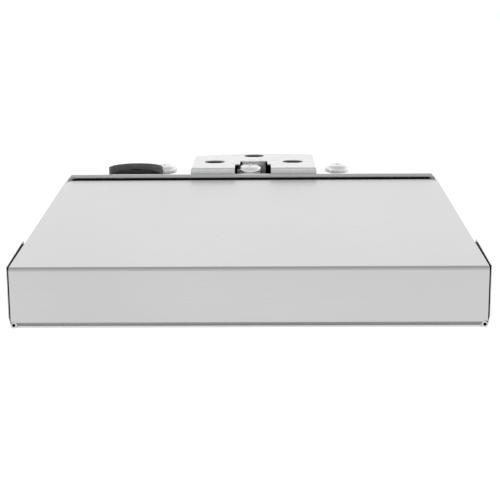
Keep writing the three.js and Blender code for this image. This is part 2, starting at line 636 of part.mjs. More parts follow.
add("control_bezel", controlBezel(), blackPlastic, 0, BUTTON.y, FLOOR_Z);
add("control_board", controlBoard(), boardGreen, 0, BUTTON.y, FLOOR_Z);
buttonPlaces().forEach((x, i) =>
  add(`push_button_${i + 1}`, pushButton(), polished, x, BUTTON.y, FLOOR_Z));

add("junction_box", junctionBox(), galvanised);
add("junction_lid", junctionLid(), galvanised);
add("control_lead", controlLead(), blackRubber);
add("motor_lead", motorLead(), blackRubber);
add("cable_boot", cableBoot(), blackRubber, CABLE.x, CABLE.y);
add("cable_guard", cableGuard(), darkPlastic, CABLE.x, CABLE.y);

add("hanging_bracket", hangingBracket(), zincPlate);
add("bracket_seal", bracketSeal(), blackRubber);
add("lock_clip", lockClip(), zincPlate, BRACKET.x, 484);
bracketScrewPlaces().forEach(([x, y], i) =>
  add(`bracket_screw_${i + 1}`, smallScrew(6.4), zincPlate, x, y, BRACKET.sheet + 2 * GAP));
for (const [name, [x, y, z]] of Object.entries(BOLTS)) {
  add(`mount_bolt_${name}`, mountBolt(), zincPlate, x, y, z);
  add(`bolt_spacer_${name}`, boltSpacer(z - GAP), zincPlate, x, y);
}

const part = new THREE.Group();
part.add(hood);
export default part;
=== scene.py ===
# %% [markdown]
# A low under cabinet range hood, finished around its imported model.
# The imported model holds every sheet, screw and moving piece at its true size and place. Blender adds what a
# drawing leaves out: soft folds, brushed grain, zinc bloom, moulded plastic, filter mesh and studio light.

# %% Load the frame
import json
import math
import bmesh
import bpy
from mathutils import Matrix, Vector


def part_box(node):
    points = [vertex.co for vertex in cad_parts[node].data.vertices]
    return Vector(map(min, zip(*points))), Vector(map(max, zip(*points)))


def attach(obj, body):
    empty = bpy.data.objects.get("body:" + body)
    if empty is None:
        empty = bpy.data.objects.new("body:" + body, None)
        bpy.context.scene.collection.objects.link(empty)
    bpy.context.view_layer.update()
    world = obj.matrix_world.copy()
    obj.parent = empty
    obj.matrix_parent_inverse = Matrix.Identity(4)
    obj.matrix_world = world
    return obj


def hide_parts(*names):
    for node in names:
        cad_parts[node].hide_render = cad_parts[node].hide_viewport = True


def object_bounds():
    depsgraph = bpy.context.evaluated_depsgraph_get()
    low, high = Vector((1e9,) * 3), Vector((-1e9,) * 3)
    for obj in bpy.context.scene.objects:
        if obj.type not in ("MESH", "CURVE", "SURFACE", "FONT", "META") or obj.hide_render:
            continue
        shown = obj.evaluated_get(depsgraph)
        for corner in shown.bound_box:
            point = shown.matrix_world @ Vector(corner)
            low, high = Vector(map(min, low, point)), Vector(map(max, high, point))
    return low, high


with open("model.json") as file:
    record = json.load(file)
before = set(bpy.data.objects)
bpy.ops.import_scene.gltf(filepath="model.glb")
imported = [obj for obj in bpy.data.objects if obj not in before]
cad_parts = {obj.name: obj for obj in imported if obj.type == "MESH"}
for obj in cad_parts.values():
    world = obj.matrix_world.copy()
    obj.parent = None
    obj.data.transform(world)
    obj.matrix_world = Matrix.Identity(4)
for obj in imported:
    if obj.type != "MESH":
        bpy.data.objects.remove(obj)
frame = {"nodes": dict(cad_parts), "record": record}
cad_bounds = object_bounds()
nodes = frame["nodes"]
scene = bpy.context.scene
MM = 0.001
print("nodes", len(nodes), "box", [tuple(round(v, 3) for v in corner) for corner in cad_bounds])

# %% [markdown]
# Camera. A hood this wide is shown from a little above its front and from about two hood widths away, so
# its sides run together only gently. A close wide lens would flare the front corners, and a parallel view
# would lose the depth. The lens is set from a few plain numbers and then stays put.

# %% Camera
CAMERA_PLACE = Vector((0.0168, -1.7111, 0.3159))
CAMERA_DIP = math.radians(15.63)
CAMERA_TURN = math.radians(0.69)
CAMERA_ROLL = math.radians(-0.40)
CAMERA_FIELD = math.radians(27.87)

camera_data = bpy.data.cameras.new("hood_camera")
camera_data.sensor_fit = "HORIZONTAL"
camera_data.angle = CAMERA_FIELD
camera_data.clip_end = 50
camera = bpy.data.objects.new("hood_camera", camera_data)
scene.collection.objects.link(camera)
aim = Matrix.Rotation(CAMERA_TURN, 4, "Z") @ Matrix.Rotation(math.pi / 2 - CAMERA_DIP, 4, "X")
camera.matrix_world = Matrix.Translation(CAMERA_PLACE) @ aim @ Matrix.Rotation(CAMERA_ROLL, 4, "Z")
scene.camera = camera
scene.view_settings.view_transform = "Standard"
print("camera", [round(v, 3) for v in CAMERA_PLACE])

# %% [markdown]
# Stage sheets. The floor could be lit until it reads white, but then every lamp would mark it. A sheet that
# glows a little stays evenly pale. It shows only its upper side, so the hood can also be seen from below. A
# dark card that only reflections can see lies under the front edge, as a black flag does in a studio, and
# draws the shaded line along the bottom fold.

# %% Floor and shade card
FLOOR_DROP, FLOOR_REACH = 0.30, 12
FLOOR_TONE, FLOOR_GLOW = 0.30, 0.92
CARD_DROP, CARD_LOW, CARD_HIGH = 0.12, (-0.6, -0.86), (0.6, -0.57)
CARD_TONE, CARD_GLOW = 0.05, 0.16
hood_foot = cad_bounds[0][2]


def level_sheet(name, low, high, z):
    """A level rectangle between two corners at one height."""
    mesh = bpy.data.meshes.new(name)
    corners = [(low[0], low[1], z), (high[0], low[1], z), (high[0], high[1], z), (low[0], high[1], z)]
    mesh.from_pydata(corners, [], [(0, 1, 2, 3)])
    sheet = bpy.data.objects.new(name, mesh)
    scene.collection.objects.link(sheet)
    return sheet


def stage_finish(name, tone, glow):
    """A matt grey that gives off a little white light of its own."""
    material = bpy.data.materials.new(name)
    material.use_nodes = True
    shader = material.node_tree.nodes["Principled BSDF"]
    shader.inputs["Base Color"].default_value = (tone, tone, tone, 1)
    shader.inputs["Roughness"].default_value = 0.9
    shader.inputs["Specular IOR Level"].default_value = 0.0
    shader.inputs["Emission Color"].default_value = (1, 1, 1, 1)
    shader.inputs["Emission Strength"].default_value = glow
    return material


def one_sided(material):
    """Lets a stage sheet be seen from above and looked through from below."""
    tree = material.node_tree
    clear = tree.nodes.new("ShaderNodeBsdfTransparent")
    shape = tree.nodes.new("ShaderNodeNewGeometry")
    mix = tree.nodes.new("ShaderNodeMixShader")
    tree.links.new(shape.outputs["Backfacing"], mix.inputs["Fac"])
    tree.links.new(tree.nodes["Principled BSDF"].outputs["BSDF"], mix.inputs[1])
    tree.links.new(clear.outputs["BSDF"], mix.inputs[2])
    tree.links.new(mix.outputs["Shader"], tree.nodes["Material Output"].inputs["Surface"])
    return material


floor = level_sheet("studio_floor", (-FLOOR_REACH, -FLOOR_REACH), (FLOOR_REACH, FLOOR_REACH),
                    hood_foot - FLOOR_DROP)
floor.data.materials.append(one_sided(stage_finish("pale_floor", FLOOR_TONE, FLOOR_GLOW)))
card = level_sheet("shade_card", CARD_LOW, CARD_HIGH, hood_foot - CARD_DROP)
card.data.materials.append(stage_finish("shade_card", CARD_TONE, CARD_GLOW))
card.visible_camera = card.visible_diffuse = card.visible_shadow = card.visible_transmission = False
print("floor at", round(hood_foot - FLOOR_DROP, 4))

# %% [markdown]
# Node helpers. A material is a small network, and linking every socket by hand hides what it does. These
# few functions feed a socket with a number or another node, and hold the sums and blends used below.

# %% Node helpers
MIX_COLOUR_A, MIX_COLOUR_B, MIX_COLOUR_RESULT = 6, 7, 2


def feed(tree, value, socket):
    """Links a node output to a socket, or sets the socket to a plain value."""
    if isinstance(value, bpy.types.NodeSocket):
        tree.links.new(value, socket)
    else:
        socket.default_value = value


def math_node(tree, operation, first, second, clamp=False):
    node = tree.nodes.new("ShaderNodeMath")
    node.operation = operation
    node.use_clamp = clamp
    feed(tree, first, node.inputs[0])
    feed(tree, second, node.inputs[1])
    return node.outputs["Value"]


def remap(tree, value, start, end, low=0.0, high=1.0, kind="LINEAR"):
    """Carries a value from the span start..end to the span low..high and keeps it there."""
    node = tree.nodes.new("ShaderNodeMapRange")
    node.interpolation_type = kind
    for label, number in (("From Min", start), ("From Max", end), ("To Min", low), ("To Max", high)):
        node.inputs[label].default_value = number
    tree.links.new(value, node.inputs["Value"])
    return node.outputs["Result"]


def mix_value(tree, mask, first, second):
    node = tree.nodes.new("ShaderNodeMix")
    tree.links.new(mask, node.inputs["Factor"])
    feed(tree, first, node.inputs["A"])
    feed(tree, second, node.inputs["B"])
    return node.outputs["Result"]


def mix_colour(tree, mask, dark, light):
    """Blends two colours; either may be a node output."""
    node = tree.nodes.new("ShaderNodeMix")
    node.data_type = "RGBA"
    tree.links.new(mask, node.inputs["Factor"])
    for colour, index in ((dark, MIX_COLOUR_A), (light, MIX_COLOUR_B)):
        feed(tree, (*colour, 1) if isinstance(colour, tuple) else colour, node.inputs[index])
    return node.outputs[MIX_COLOUR_RESULT]


print("helpers: feed, math_node, remap, mix_value, mix_colour")

# %% [markdown]
# Sky. Satin steel only looks like steel if it has something to mirror, so the room is a white tent. It
# could be built from large lamps, but a sky that changes with direction is smoother and has no edges. It
# is brightest behind the hood, dimmer in front and grey overhead: the flat top then reads pale, the face
# a tone darker, and the fold between them a fine dark line. Looked at directly it is plain white.

# %% Sky
TENT_BACK, TENT_FRONT, TENT_TOP = 1.06, 0.72, 0.52
FRONT_TO_BACK = (-0.5, 0.3)
CLIMB, CLIMB_LIGHT = (0.16, 0.40), (0.97, 1.12)
OVERHEAD = (0.45, 0.85)
SKY_SEEN = 1.0


def tent_sky(tree):
    """Sets the sky's light from its direction: Y runs from front to back and Z upwards."""
    place = tree.nodes.new("ShaderNodeTexCoord")
    way = tree.nodes.new("ShaderNodeSeparateXYZ")
    tree.links.new(place.outputs["Generated"], way.inputs["Vector"])
    round_about = remap(tree, way.outputs["Y"], *FRONT_TO_BACK, TENT_FRONT, TENT_BACK)
    climb = remap(tree, way.outputs["Z"], *CLIMB, *CLIMB_LIGHT)
    sides = math_node(tree, "MULTIPLY", round_about, climb)
    overhead = remap(tree, way.outputs["Z"], *OVERHEAD, kind="SMOOTHSTEP")
    light = mix_value(tree, overhead, sides, TENT_TOP)
    direct = tree.nodes.new("ShaderNodeLightPath").outputs["Is Camera Ray"]
    tree.links.new(mix_value(tree, direct, light, SKY_SEEN), tree.nodes["Background"].inputs["Strength"])


world = bpy.data.worlds.new("studio_tent")
scene.world = world
world.use_nodes = True
world.node_tree.nodes["Background"].inputs["Color"].default_value = (1, 1, 1, 1)
tent_sky(world.node_tree)
print("sky from", TENT_FRONT, "in front to", TENT_BACK, "behind")

# %% [markdown]
# Lamp. One weak soft box on the left gives the two ends of the hood slightly different tones, which a
# tent alone would not. A point lamp would do it too, but would leave hard shadows on the deck.

# %% Soft box
BOX_PLACE, BOX_AIM = Vector((-2.0, -0.6, 0.9)), Vector((0, -0.1, -0.05))
BOX_SIZE, BOX_POWER = (0.6, 1.4), 4

box_data = bpy.data.lights.new("left_box", "AREA")
box_data.shape = "RECTANGLE"
box_data.size, box_data.size_y = BOX_SIZE
box_data.energy = BOX_POWER
soft_box = bpy.data.objects.new("left_box", box_data)
scene.collection.objects.link(soft_box)
soft_box.location = BOX_PLACE
soft_box.rotation_euler = (BOX_AIM - BOX_PLACE).to_track_quat("-Z", "Y").to_euler()
print("soft box", BOX_POWER, "W")

# %% [markdown]
# Shared effects. Grain, smudges and rubbed edges with their painted highlight turn up in many finishes, so
# each is a node group that is built once and placed in every material with its own values. A group gives
# out only a mask or a height that changes over the surface. The shader itself stays in the material.

# %% Group helpers
def new_group(name, inputs, outputs):
    """A shader node group of number sockets: inputs with their defaults, and outputs by name."""
    tree = bpy.data.node_groups.new(name, "ShaderNodeTree")
    for label, value in inputs.items():
        socket = tree.interface.new_socket(label, in_out="INPUT", socket_type="NodeSocketFloat")
        socket.default_value = value
    for label in outputs:
        tree.interface.new_socket(label, in_out="OUTPUT", socket_type="NodeSocketFloat")
    return tree, tree.nodes.new("NodeGroupInput"), tree.nodes.new("NodeGroupOutput")


def hood_place(tree):
    """The point of the surface in the hood's own space, in metres."""
    return tree.nodes.new("ShaderNodeTexCoord").outputs["Object"]


def mapped_noise(tree, scale, stretch=(1, 1, 1), detail=4.0, roughness=0.6):
    """Noise over the hood's own space, stretched by a vector."""
    mapping = tree.nodes.new("ShaderNodeMapping")
    mapping.inputs["Scale"].default_value = stretch
    tree.links.new(hood_place(tree), mapping.inputs["Vector"])
    noise = tree.nodes.new("ShaderNodeTexNoise")
    for label, value in (("Scale", scale), ("Detail", detail), ("Roughness", roughness)):
        noise.inputs[label].default_value = value
    tree.links.new(mapping.outputs["Vector"], noise.inputs["Vector"])
    return noise.outputs["Fac"]


print("helpers: new_group, hood_place, mapped_noise")

# %% [markdown]
# Brushed grain. An abrasive belt leaves fine scratches that all run one way, here across the hood. They
# could be thousands of tiny grooves, but noise that is stretched a hundredfold along one axis gives the
# same streaks for the price of two textures: a fine one for the scratches, a broad one for the bands.

# %% Brushed grain
FINE_STRETCH, FINE_SHARE = (6.0, 900.0, 900.0), 0.65
BROAD_STRETCH, BROAD_SHARE = (2.0, 160.0, 160.0), 0.35


def build_grain():
    tree, source, out = new_group("brushed_grain", {"Contrast": 1.0}, ["Grain", "Height"])
    fine = mapped_noise(tree, 1.0, FINE_STRETCH, 6.0, 0.75)
    broad = mapped_noise(tree, 1.0, BROAD_STRETCH, 3.0)
    both = math_node(tree, "ADD", math_node(tree, "MULTIPLY", fine, FINE_SHARE),
                     math_node(tree, "MULTIPLY", broad, BROAD_SHARE))
    centred = math_node(tree, "SUBTRACT", both, 0.5)
    shaped = math_node(tree, "MULTIPLY", centred, source.outputs["Contrast"])
    tree.links.new(math_node(tree, "ADD", shaped, 0.5, True), out.inputs["Grain"])
    tree.links.new(both, out.inputs["Height"])
    return tree


GRAIN = build_grain()
print("group", GRAIN.name)

# %% [markdown]
# Slow smudge. Wiped metal and handled plastic are never equally clean all over. A large soft noise, cut
# so that most of the surface stays clean, moves the gloss a little from place to place.

# %% Slow smudge
SMUDGE_SPAN = (0.35, 0.7)


def build_smudge():
    tree, source, out = new_group("slow_smudge", {"Size": 7.0}, ["Smudge"])
    noise = tree.nodes.new("ShaderNodeTexNoise")
    noise.inputs["Detail"].default_value = 3.0
    noise.inputs["Roughness"].default_value = 0.55
    tree.links.new(hood_place(tree), noise.inputs["Vector"])
    tree.links.new(source.outputs["Size"], noise.inputs["Scale"])
    tree.links.new(remap(tree, noise.outputs["Fac"], *SMUDGE_SPAN), out.inputs["Smudge"])
    return tree


SMUDGE = build_smudge()
print("group", SMUDGE.name)

# %% [markdown]
# Rubbed edges and painted edge highlight. Corners get bright where hands and cloths wear them, and the same
# lighter line is also a painted highlight along every edge, standing in for the glint a rounded edge catches.
# The Bevel node gives a normal that is rounded near an edge, so the place where it leaves the true normal is
# the edge itself: no mask has to be drawn, and it works on every piece. Fine noise then breaks the line, as
# real wear is never even.

# %% Rubbed edges and painted edge highlight
EDGE_GLINT_REACH, EDGE_GLINT_GAIN, EDGE_GLINT_SPOTS = 0.8 * MM, 6.0, 90.0


def build_edge_wear_glint():
    # Lightens the colour at every edge: partly rubbed wear, partly a painted highlight.
    tree, source, out = new_group("edge_wear_and_glint", {"Strength": 1.0}, ["Rub"])
    bevel = tree.nodes.new("ShaderNodeBevel")
    bevel.inputs["Radius"].default_value = EDGE_GLINT_REACH
    bevel.samples = 4
    shape = tree.nodes.new("ShaderNodeNewGeometry")
    dot = tree.nodes.new("ShaderNodeVectorMath")
    dot.operation = "DOT_PRODUCT"
    tree.links.new(bevel.outputs["Normal"], dot.inputs[0])
    tree.links.new(shape.outputs["Normal"], dot.inputs[1])
    bend = math_node(tree, "SUBTRACT", 1.0, dot.outputs["Value"])
    gained = math_node(tree, "MULTIPLY", bend, EDGE_GLINT_GAIN)
    scaled = math_node(tree, "MULTIPLY", gained, source.outputs["Strength"])
    spots = mapped_noise(tree, EDGE_GLINT_SPOTS, detail=3.0)
    tree.links.new(math_node(tree, "MULTIPLY", scaled, spots, True), out.inputs["Rub"])
    return tree


EDGE_WEAR_GLINT = build_edge_wear_glint()
print("group", EDGE_WEAR_GLINT.name)

# %% [markdown]
# Finishes. Every material starts from one Principled shader. The masks above then move its colour and
# roughness a little, and a bump gives the grain a surface that light can catch. Numbers that are the same
# all over go straight onto the shader's own sockets.

# %% Material helpers
FINISH = {}


def use_group(tree, group, label, value):
    """One placed copy of a shared effect, with its own value."""
    node = tree.nodes.new("ShaderNodeGroup")
    node.node_tree = group
    node.inputs[label].default_value = value
    return node


def start_material(name, **settings):
    """A new finish and its shader; each setting names a shader socket, with _ for a space."""
    material = bpy.data.materials.new(name)
    material.use_nodes = True
    tree = material.node_tree
    shader = tree.nodes["Principled BSDF"]
    for label, value in settings.items():
        shader.inputs[label.replace("_", " ")].default_value = value
    FINISH[name] = material
    return tree, shader


def add_bump(tree, shader, height, depth, strength):
    bump = tree.nodes.new("ShaderNodeBump")
    bump.inputs["Distance"].default_value = depth
    bump.inputs["Strength"].default_value = strength
    tree.links.new(height, bump.inputs["Height"])
    tree.links.new(bump.outputs["Normal"], shader.inputs["Normal"])


print("helpers: use_group, start_material, add_bump")

# %% [markdown]
# Brushed sheet. The cover, sides, deck and pan are satin steel, and the filters are brushed aluminium.
# Scratches stretch every highlight across themselves. The shader's anisotropy does that, and a tangent
# that runs round the hood's long axis tells it which way the scratches lie, also on folded faces.

# %% Brushed steel and aluminium
# Colour the sheet edges are lightened to: rubbed wear and a painted edge highlight.
WEAR_AND_GLINT_STEEL = (0.88, 0.88, 0.885)
GRAIN_SHARE, SMUDGE_SHARE = 0.6, 0.4


def brushed_metal(name, dark, light, rough, depth):
    """Sheet metal with a grain drawn across its width."""
    tree, shader = start_material(name, Metallic=1.0, Anisotropic=0.4, Anisotropic_Rotation=0.25)
    grain = use_group(tree, GRAIN, "Contrast", 1.2)
    smudge = use_group(tree, SMUDGE, "Size", 5.0)
    wear_glint = use_group(tree, EDGE_WEAR_GLINT, "Strength", 1.6)
    toned = mix_colour(tree, grain.outputs["Grain"], dark, light)
    # Edges lightened towards pale steel: partly rubbed wear, partly a painted highlight along each sheet
    # edge.
    tree.links.new(mix_colour(tree, wear_glint.outputs["Rub"], toned, WEAR_AND_GLINT_STEEL), shader.inputs["Base Color"])
    both = math_node(tree, "ADD", math_node(tree, "MULTIPLY", grain.outputs["Grain"], GRAIN_SHARE),
                     math_node(tree, "MULTIPLY", smudge.outputs["Smudge"], SMUDGE_SHARE))
    tree.links.new(remap(tree, both, 0.0, 1.0, *rough), shader.inputs["Roughness"])
    add_bump(tree, shader, grain.outputs["Height"], depth, 0.25)
    along = tree.nodes.new("ShaderNodeTangent")
    along.direction_type, along.axis = "RADIAL", "X"
    tree.links.new(along.outputs["Tangent"], shader.inputs["Tangent"])


brushed_metal("satin_steel", (0.56, 0.56, 0.563), (0.625, 0.625, 0.628), (0.24, 0.34), 0.025 * MM)
brushed_metal("filter_aluminium", (0.60, 0.61, 0.62), (0.78, 0.79, 0.80), (0.3, 0.45), 0.05 * MM)
print("brushed:", ", ".join(FINISH))

# %% [markdown]
# Zinc. Hot dipped sheet freezes into a patchwork of crystals, each a little lighter or duller than its
# neighbour. Voronoi cells are just such a patchwork: one channel of a cell's random colour sets the tone
# and another the gloss. The plating on the bracket and bolts uses the same cells, too fine to tell apart.

# %% Zinc and galvanised sheet
WORN_ZINC = (0.95, 0.95, 0.95)
BLOOM_SCALE, BLOOM_DEPTH = 420.0, 0.1 * MM


def plated_metal(name, dark, light, rough, cell):
    """Zinc coated metal: crystals of slightly different tone and gloss."""
    tree, shader = start_material(name, Metallic=1.0)
    crystals = tree.nodes.new("ShaderNodeTexVoronoi")
    crystals.inputs["Scale"].default_value = cell
    tree.links.new(hood_place(tree), crystals.inputs["Vector"])
    tone = tree.nodes.new("ShaderNodeSeparateColor")
    tree.links.new(crystals.outputs["Color"], tone.inputs["Color"])
    wear_glint = use_group(tree, EDGE_WEAR_GLINT, "Strength", 1.0)
    toned = mix_colour(tree, tone.outputs["Red"], dark, light)
    tree.links.new(mix_colour(tree, wear_glint.outputs["Rub"], toned, WORN_ZINC), shader.inputs["Base Color"])
    tree.links.new(remap(tree, tone.outputs["Green"], 0.0, 1.0, *rough), shader.inputs["Roughness"])
    add_bump(tree, shader, mapped_noise(tree, BLOOM_SCALE), BLOOM_DEPTH, 0.2)


plated_metal("galvanised_steel", (0.52, 0.54, 0.55), (0.70, 0.71, 0.72), (0.32, 0.5), 95.0)
plated_metal("zinc_plate", (0.80, 0.805, 0.81), (0.88, 0.88, 0.885), (0.34, 0.46), 260.0)
plated_metal("bright_zinc", (0.92, 0.92, 0.925), (0.97, 0.97, 0.97), (0.36, 0.46), 420.0)
print("finishes so far:", len(FINISH))

# %% [markdown]
# Polished steel. Lamp rings, buttons and the motor shaft are small and shiny. What keeps them from
# looking like mercury is a trace of finger grease and hair scratches, so both are there, very faint.

# %% Polished steel
def polished_metal(name, dark, light, rough):
    tree, shader = start_material(name, Metallic=1.0)
    smudge = use_group(tree, SMUDGE, "Size", 60.0).outputs["Smudge"]
    tree.links.new(mix_colour(tree, smudge, dark, light), shader.inputs["Base Color"])
    tree.links.new(remap(tree, smudge, 0.0, 1.0, *rough), shader.inputs["Roughness"])
    add_bump(tree, shader, mapped_noise(tree, 1.0, (40.0, 400.0, 400.0)), 0.05 * MM, 0.15)


polished_metal("polished_steel", (0.80, 0.81, 0.82), (0.90, 0.90, 0.91), (0.10, 0.2))
print("finishes so far:", len(FINISH))

# %% [markdown]
# Plastic and rubber. The bezel, wheel and guard are moulded, the seals are foam, and the cable boot is
# rubber. All four are dark skins with fine pores, so one function makes them. They differ in how large
# the pores are, how deep, and how much the skin shines: foam hardly at all. The foam seals are nearly
# black, so in the seams and gaps where they sit they are also painted shade.

# %% Plastic and rubber
PALE_GAIN, PALE_LIFT = 1.8, 0.01


def moulded(name, dark, light, rough, pore, depth, shine=0.5):
    """Moulded plastic or rubber with a pebbled skin, a tone that drifts slightly and paler edges."""
    tree, shader = start_material(name, Specular_IOR_Level=shine)
    smudge = use_group(tree, SMUDGE, "Size", 22.0).outputs["Smudge"]
    wear_glint = use_group(tree, EDGE_WEAR_GLINT, "Strength", 0.8)
    toned = mix_colour(tree, smudge, dark, light)
    pale = tuple(min(1.0, part * PALE_GAIN + PALE_LIFT) for part in light)
    tree.links.new(mix_colour(tree, wear_glint.outputs["Rub"], toned, pale), shader.inputs["Base Color"])
    tree.links.new(remap(tree, smudge, 0.0, 1.0, *rough), shader.inputs["Roughness"])
    add_bump(tree, shader, mapped_noise(tree, pore, detail=2.0), depth, 0.5)


moulded("black_plastic", (0.018, 0.018, 0.019), (0.03, 0.03, 0.032), (0.42, 0.58), 1400.0, 0.1 * MM)
moulded("grey_plastic", (0.15, 0.15, 0.153), (0.19, 0.19, 0.193), (0.4, 0.52), 1200.0, 0.1 * MM)
# Near black foam: real seals, and also painted shade filling the seams and gaps they sit in.
moulded("foam_rubber", (0.003, 0.003, 0.003), (0.007, 0.007, 0.007), (0.85, 0.95), 700.0, 0.4 * MM, 0.15)
moulded("cable_rubber", (0.006, 0.006, 0.006), (0.012, 0.012, 0.012), (0.75, 0.88), 900.0, 0.2 * MM, 0.15)
print("finishes so far:", len(FINISH))

# %% [markdown]
# Circuit board. Under the green lacquer, copper tracks show as paler lines. A brick pattern is enough
# for a board that is only glimpsed past the bezel: its joints are the tracks.

# %% Circuit board
LACQUER, TRACK = (0.03, 0.16, 0.06), (0.10, 0.30, 0.14)


def board_finish(name):
    tree, shader = start_material(name, Coat_Weight=0.4)
    bricks = tree.nodes.new("ShaderNodeTexBrick")
    bricks.inputs["Scale"].default_value = 90.0
    tree.links.new(hood_place(tree), bricks.inputs["Vector"])
    tracks = bricks.outputs["Fac"]
    tree.links.new(mix_colour(tree, tracks, LACQUER, TRACK), shader.inputs["Base Color"])
    tree.links.new(remap(tree, tracks, 0.0, 1.0, 0.35, 0.25), shader.inputs["Roughness"])
    add_bump(tree, shader, tracks, 0.1 * MM, 0.4)


board_finish("circuit_board")
print("finishes so far:", len(FINISH))

# %% [markdown]
# Lamp glass. The two lamps have etched lenses that hide the bulb. Clear glass would show an empty
# housing, so only a third of the light goes through and the rest scatters from a fine frosted skin.

# %% Lamp glass
GLASS_DARK, GLASS_LIGHT = (0.86, 0.86, 0.82), (0.95, 0.95, 0.92)


def lamp_finish(name):
    tree, shader = start_material(name, Transmission_Weight=0.35, IOR=1.48)
    frost = mapped_noise(tree, 900.0, detail=2.0)
    tree.links.new(mix_colour(tree, frost, GLASS_DARK, GLASS_LIGHT), shader.inputs["Base Color"])
    tree.links.new(remap(tree, frost, 0.0, 1.0, 0.35, 0.55), shader.inputs["Roughness"])
    add_bump(tree, shader, frost, 0.1 * MM, 0.3)


lamp_finish("lamp_glass")
print("all finishes:", len(FINISH))

# %% [markdown]
# Eased edges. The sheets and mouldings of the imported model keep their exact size. What they lack is the
# small soft radius that every real edge has, and which draws a thin highlight round it. It could be faked
# in the shading, but a true bevel also softens the outline. Flat faces are merged first, so that the
# bevel meets clean edges. A bevel only takes material away, so nothing grows.

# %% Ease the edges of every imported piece
EDGE_WIDTH = 0.3 * MM
EDGE_TURN = math.radians(28)
FLAT_LIMIT = math.radians(0.4)


def ease(piece):
    """Merges flat faces, rounds the edges and smooths the curves."""
    piece.data.shade_smooth()
    piece.data.set_sharp_from_angle(angle=EDGE_TURN)
    flat = piece.modifiers.new("merge_flats", "DECIMATE")
    flat.decimate_type = "DISSOLVE"
    flat.angle_limit = FLAT_LIMIT
    bevel = piece.modifiers.new("eased_edges", "BEVEL")
    bevel.width = EDGE_WIDTH
    bevel.segments = 2
    bevel.limit_method = "ANGLE"
    bevel.angle_limit = EDGE_TURN
    bevel.harden_normals = True


PLACES, SIDES = ("left", "centre", "right"), ("left", "right")
replaced = [f"mount_bolt_{place}" for place in PLACES] + [f"filter_mesh_{side}" for side in SIDES]
slot_of = {row["node"]: row["material_slot"] for row in frame["record"]["subparts"]}
for name, node in nodes.items():
    node.data.materials.clear()
    node.data.materials.append(FINISH[slot_of[name]])
    if name not in replaced:
        ease(node)
print("eased", len(nodes) - len(replaced), "pieces")

# %% [markdown]
# Turned fasteners. A bolt or screw is a profile turned about its own axis, as on a lathe, so one function
# turns a list of radius and height pairs into a closed skin. Blender's Screw modifier could do the same,
# but rings made directly are closed at both ends and ready for the next step.

# %% Turned skin and domed head
RIM_TUCK, RIM_LIFT = 0.94, 0.05
DOME_STEPS, DOME_FULLNESS = 22, 0.6
CROWN_RINGS = (0.75, 0.5, 0.25)


def turned_skin(profile, segments):
    """A closed bmesh skin of revolution about Z; the profile starts and ends on the axis."""
    mesh = bmesh.new()
    rings = []
    for radius, height in profile:
        if radius == 0:
            rings.append([mesh.verts.new((0, 0, height))])
            continue
        angles = (2 * math.pi * k / segments for k in range(segments))
        rings.append([mesh.verts.new((radius * math.cos(a), radius * math.sin(a), height)) for a in angles])
    for low, high in zip(rings, rings[1:]):
        for k in range(segments):
            n = (k + 1) % segments
            corners = [low[k % len(low)], low[n % len(low)], high[n % len(high)], high[k % len(high)]]
            mesh.faces.new(list(dict.fromkeys(corners)))
    bmesh.ops.recalc_face_normals(mesh, faces=mesh.faces)
    return mesh


def head_profile(radius, height, flange, waist):
    """Half outline of a domed head from its rim to its crown: a flange, a fine groove, then the dome."""
    line = [(RIM_TUCK * radius, 0.0), (radius, RIM_LIFT * radius), (radius, flange),
            (radius - waist, flange + waist)]
    dome_foot, dome_radius = flange + 1.6 * waist, radius - 0.4 * waist
    for k in range(DOME_STEPS):
        angle = math.pi / 2 * k / DOME_STEPS
        line.append((dome_radius * math.cos(angle) ** DOME_FULLNESS,
                     dome_foot + (height - dome_foot) * math.sin(angle)))
    crown = line[-1][0]
    return line + [(crown * part, height) for part in CROWN_RINGS] + [(0, height)]


print("helpers: turned_skin, head_profile")

# %% [markdown]
# Cross recess. A header die presses the cross into the head, and the metal flows round it, so its edges
# are soft. Cutting a cross with a boolean would leave sharp corners and bad faces. Moving the points of
# the skin down, by an amount that fades at the edge of each arm, copies the press.

# %% Cross recess and finished pieces
ARM_FADE, ARM_END = 1.7, 0.82


def soft_step(value, start, end):
    t = min(1.0, max(0.0, (value - start) / (end - start)))
    return t * t * (3 - 2 * t)


def press_cross(mesh, reach, half, depth):
    """Presses a cross into the head; reach and half are an arm's length and half its width."""
    def arm(along, across):
        return (1 - soft_step(abs(across), half, half * ARM_FADE)) * (
            1 - soft_step(abs(along), reach * ARM_END, reach))

    for vert in mesh.verts:
        x, y, z = vert.co
        if z > 0:
            vert.co.z -= depth * max(arm(x, y), arm(y, x))


def finish_piece(mesh, name, slot, body, matrix=None, turn=35):
    """Turns a bmesh into a named object with its finish, shading and body."""
    data = bpy.data.meshes.new(name)
    mesh.to_mesh(data)
    mesh.free()
    if matrix:
        data.transform(matrix)
    piece = bpy.data.objects.new(name, data)
    scene.collection.objects.link(piece)
    data.materials.append(FINISH[slot])
    data.shade_smooth()
    data.set_sharp_from_angle(angle=math.radians(turn))
    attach(piece, body)
    return piece


print("helpers: soft_step, press_cross, finish_piece")

# %% [markdown]
# Mounting bolts. Three wide domed heads stand behind the ridge on spacers. The head is the part that
# shows, so it gets a fine dome, a thin flange line under it and a cross recess. The shank runs down
# through the spacer and the deck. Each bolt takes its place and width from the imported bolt.

